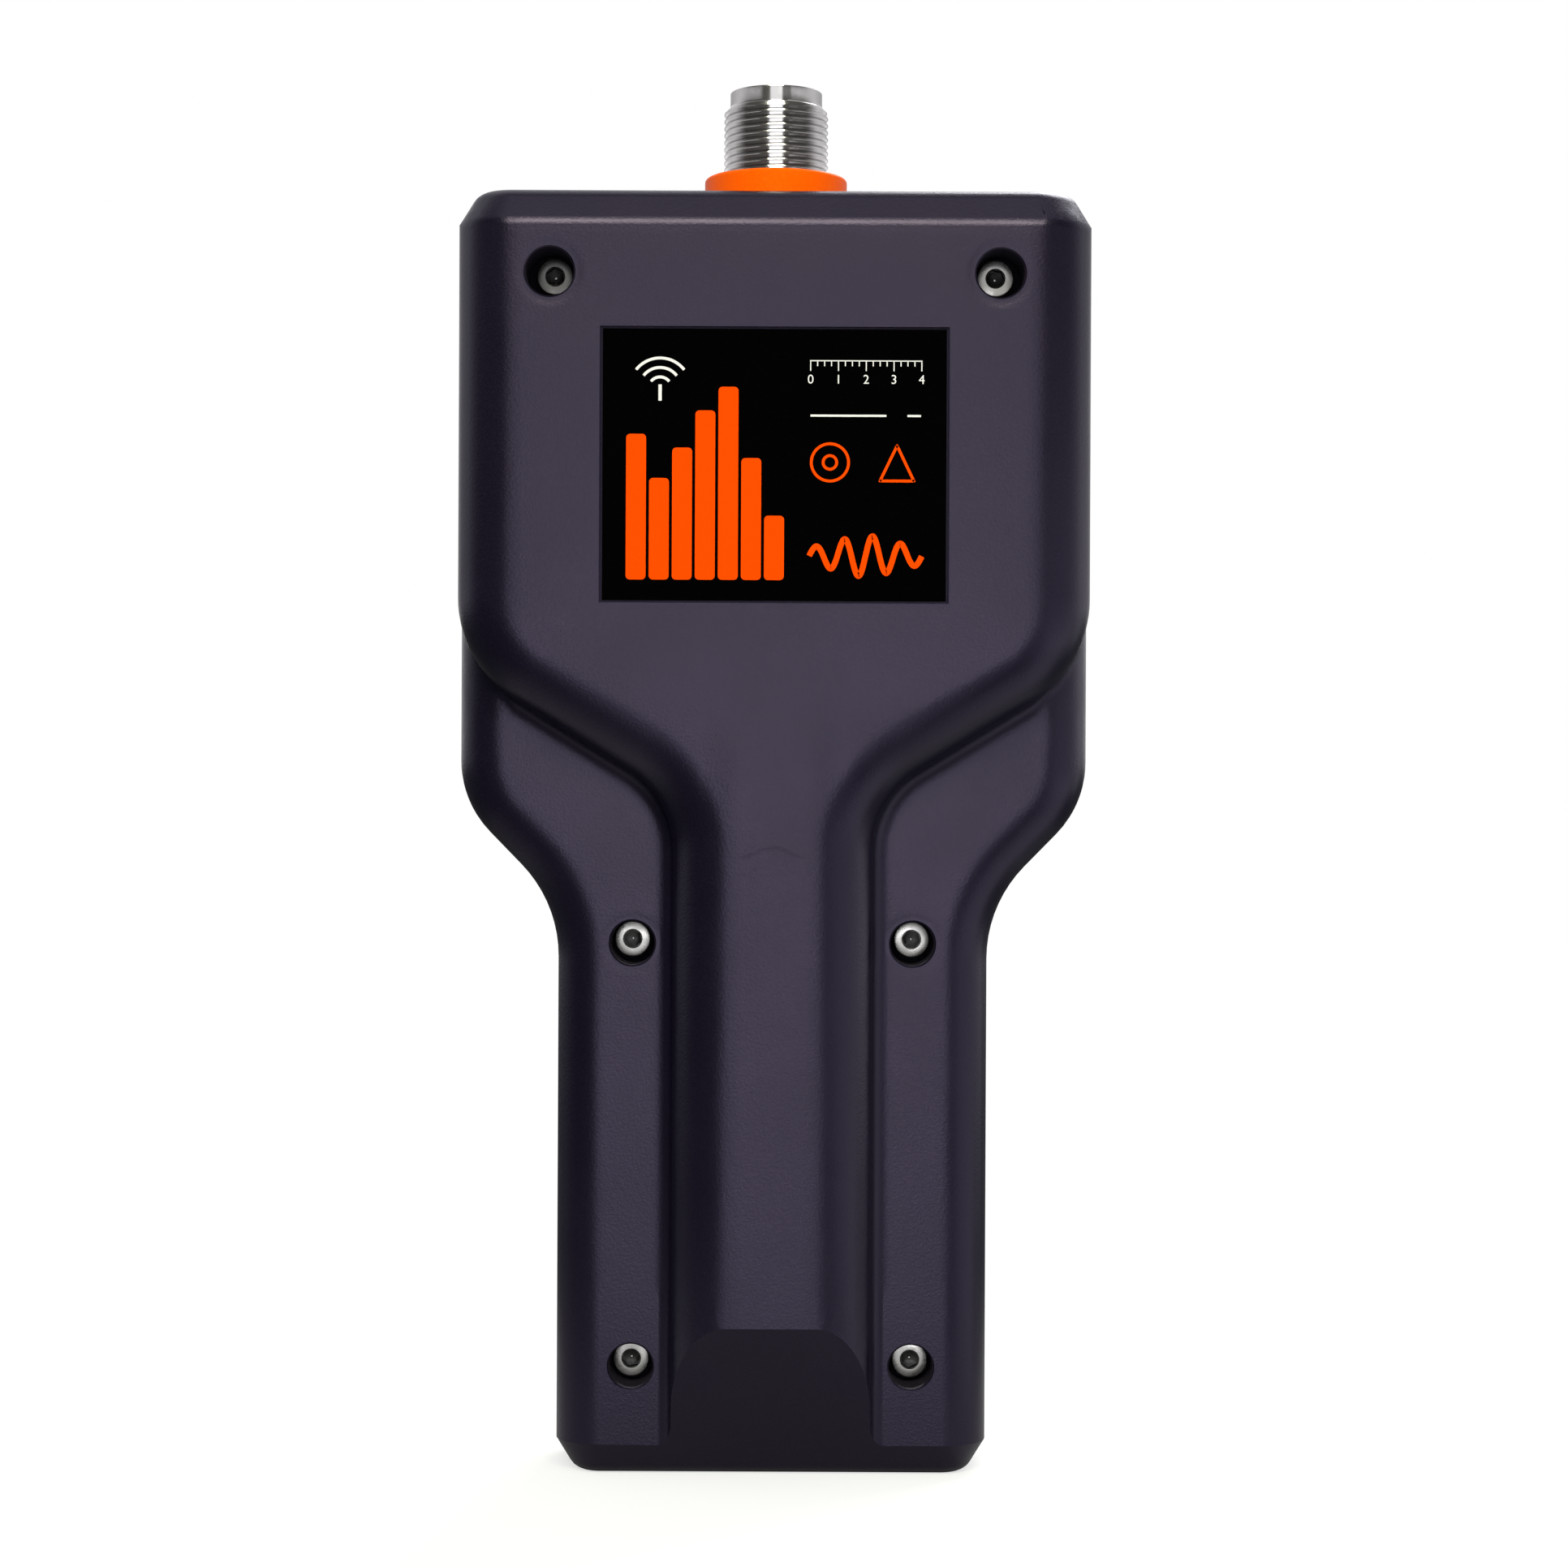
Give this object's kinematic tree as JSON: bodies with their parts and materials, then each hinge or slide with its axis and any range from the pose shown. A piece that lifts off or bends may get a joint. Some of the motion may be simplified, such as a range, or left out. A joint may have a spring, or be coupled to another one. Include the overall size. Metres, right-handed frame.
{
  "type": "antenna analyzer",
  "caption": "Hand-held antenna and cable analyzer: paddle-shaped case with a ridged handle, a threaded coaxial socket on top, a display and rubber keys.",
  "frame": {"origin": "middle of the box's underside, under the coaxial socket's axis, on the plane that the bottom end stands on", "axes": "+Z along the case towards the coaxial socket, +Y out of the back with the rating label, -Y out of the display, +X to the USB socket's side"},
  "size_m": [0.0962, 0.036, 0.2105],
  "materials": {
    "case_plastic": "fine matte grain, dark violet grey",
    "orange_plastic": "smooth satin orange",
    "key_rubber": "matte dark grey silicone",
    "ok_rubber": "matte orange silicone",
    "power_rubber": "matte red silicone",
    "seal_rubber": "matte black",
    "nickel": "bright nickel plate",
    "gold": "gold plate",
    "brass": "knurled, bright",
    "steel": "bright socket cap screws",
    "ptfe": "white, waxy",
    "coax_jacket": "translucent brown",
    "label_vinyl": "printed black vinyl",
    "window_glass": "clear hard-coated, black border",
    "tape_foam": "black foam",
    "lcd_black": "glossy, dark",
    "flex_film": "amber polyimide",
    "board_laminate": "green solder mask",
    "chip_epoxy": "black moulded epoxy",
    "shield_sheet": "tinned sheet",
    "light_pipe": "clear, pale green",
    "cell_wrap": "blue sleeve over the steel can",
    "holder_plastic": "black nylon"
  },
  "bodies": {
    "case": {"battery_cell": "cell_wrap", "battery_contacts": "nickel", "battery_holder": "holder_plastic", "battery_pad": "tape_foam", "board_chips": "chip_epoxy", "board_screws": "steel", "boss_inserts": "brass", "buzzer": "chip_epoxy", "case_seal": "seal_rubber", "coax_ferrule": "nickel", "coax_lead": "coax_jacket", "coax_plug": "gold", "connector_carrier": "orange_plastic", "connector_contact": "gold", "connector_insulator": "ptfe", "connector_screws": "steel", "connector_shell": "nickel", "display_flex": "flex_film", "display_window": "window_glass", "flex_socket": "flex_film", "front_cover": "case_plastic", "key_domes": "shield_sheet", "keypad_mat": "seal_rubber", "lcd_module": "lcd_black", "lcd_pads": "tape_foam", "lower_case_screws": "steel", "main_board": "board_laminate", "rating_label": "label_vinyl", "rear_cover": "case_plastic", "rf_shield": "shield_sheet", "status_light": "light_pipe", "top_case_screws": "steel", "usb_socket": "shield_sheet", "window_tape": "tape_foam"},
    "key_0": {"key_0": "key_rubber"},
    "key_1": {"key_1": "key_rubber"},
    "key_2": {"key_2": "key_rubber"},
    "key_3": {"key_3": "key_rubber"},
    "key_4": {"key_4": "key_rubber"},
    "key_5": {"key_5": "key_rubber"},
    "key_6": {"key_6": "key_rubber"},
    "key_7": {"key_7": "key_rubber"},
    "key_8": {"key_8": "key_rubber"},
    "key_9": {"key_9": "key_rubber"},
    "key_back": {"key_back": "key_rubber"},
    "key_dot": {"key_dot": "key_rubber"},
    "key_down": {"key_down": "key_rubber"},
    "key_erase": {"key_erase": "key_rubber"},
    "key_left": {"key_left": "key_rubber"},
    "key_menu": {"key_menu": "key_rubber"},
    "key_ok": {"key_ok": "ok_rubber"},
    "key_power": {"key_power": "power_rubber"},
    "key_right": {"key_right": "key_rubber"},
    "key_up": {"key_up": "key_rubber"}
  },
  "joints": [
    {"name": "key_0_press", "type": "slide", "parent": "case", "child": "key_0", "axis": [0, 1, 0], "range_m": [0, 0.0008], "stiffness_N_per_m": 300},
    {"name": "key_1_press", "type": "slide", "parent": "case", "child": "key_1", "axis": [0, 1, 0], "range_m": [0, 0.0008], "stiffness_N_per_m": 300},
    {"name": "key_2_press", "type": "slide", "parent": "case", "child": "key_2", "axis": [0, 1, 0], "range_m": [0, 0.0008], "stiffness_N_per_m": 300},
    {"name": "key_3_press", "type": "slide", "parent": "case", "child": "key_3", "axis": [0, 1, 0], "range_m": [0, 0.0008], "stiffness_N_per_m": 300},
    {"name": "key_4_press", "type": "slide", "parent": "case", "child": "key_4", "axis": [0, 1, 0], "range_m": [0, 0.0008], "stiffness_N_per_m": 300},
    {"name": "key_5_press", "type": "slide", "parent": "case", "child": "key_5", "axis": [0, 1, 0], "range_m": [0, 0.0008], "stiffness_N_per_m": 300},
    {"name": "key_6_press", "type": "slide", "parent": "case", "child": "key_6", "axis": [0, 1, 0], "range_m": [0, 0.0008], "stiffness_N_per_m": 300},
    {"name": "key_7_press", "type": "slide", "parent": "case", "child": "key_7", "axis": [0, 1, 0], "range_m": [0, 0.0008], "stiffness_N_per_m": 300},
    {"name": "key_8_press", "type": "slide", "parent": "case", "child": "key_8", "axis": [0, 1, 0], "range_m": [0, 0.0008], "stiffness_N_per_m": 300},
    {"name": "key_9_press", "type": "slide", "parent": "case", "child": "key_9", "axis": [0, 1, 0], "range_m": [0, 0.0008], "stiffness_N_per_m": 300},
    {"name": "key_back_press", "type": "slide", "parent": "case", "child": "key_back", "axis": [0, 1, 0], "range_m": [0, 0.0008], "stiffness_N_per_m": 300},
    {"name": "key_dot_press", "type": "slide", "parent": "case", "child": "key_dot", "axis": [0, 1, 0], "range_m": [0, 0.0008], "stiffness_N_per_m": 300},
    {"name": "key_down_press", "type": "slide", "parent": "case", "child": "key_down", "axis": [0, 1, 0], "range_m": [0, 0.0008], "stiffness_N_per_m": 300},
    {"name": "key_erase_press", "type": "slide", "parent": "case", "child": "key_erase", "axis": [0, 1, 0], "range_m": [0, 0.0008], "stiffness_N_per_m": 300},
    {"name": "key_left_press", "type": "slide", "parent": "case", "child": "key_left", "axis": [0, 1, 0], "range_m": [0, 0.0008], "stiffness_N_per_m": 300},
    {"name": "key_menu_press", "type": "slide", "parent": "case", "child": "key_menu", "axis": [0, 1, 0], "range_m": [0, 0.0008], "stiffness_N_per_m": 300},
    {"name": "key_ok_press", "type": "slide", "parent": "case", "child": "key_ok", "axis": [0, 1, 0], "range_m": [0, 0.0008], "stiffness_N_per_m": 300},
    {"name": "key_power_press", "type": "slide", "parent": "case", "child": "key_power", "axis": [0, 1, 0], "range_m": [0, 0.0008], "stiffness_N_per_m": 300},
    {"name": "key_right_press", "type": "slide", "parent": "case", "child": "key_right", "axis": [0, 1, 0], "range_m": [0, 0.0008], "stiffness_N_per_m": 300},
    {"name": "key_up_press", "type": "slide", "parent": "case", "child": "key_up", "axis": [0, 1, 0], "range_m": [0, 0.0008], "stiffness_N_per_m": 300}
  ]
}
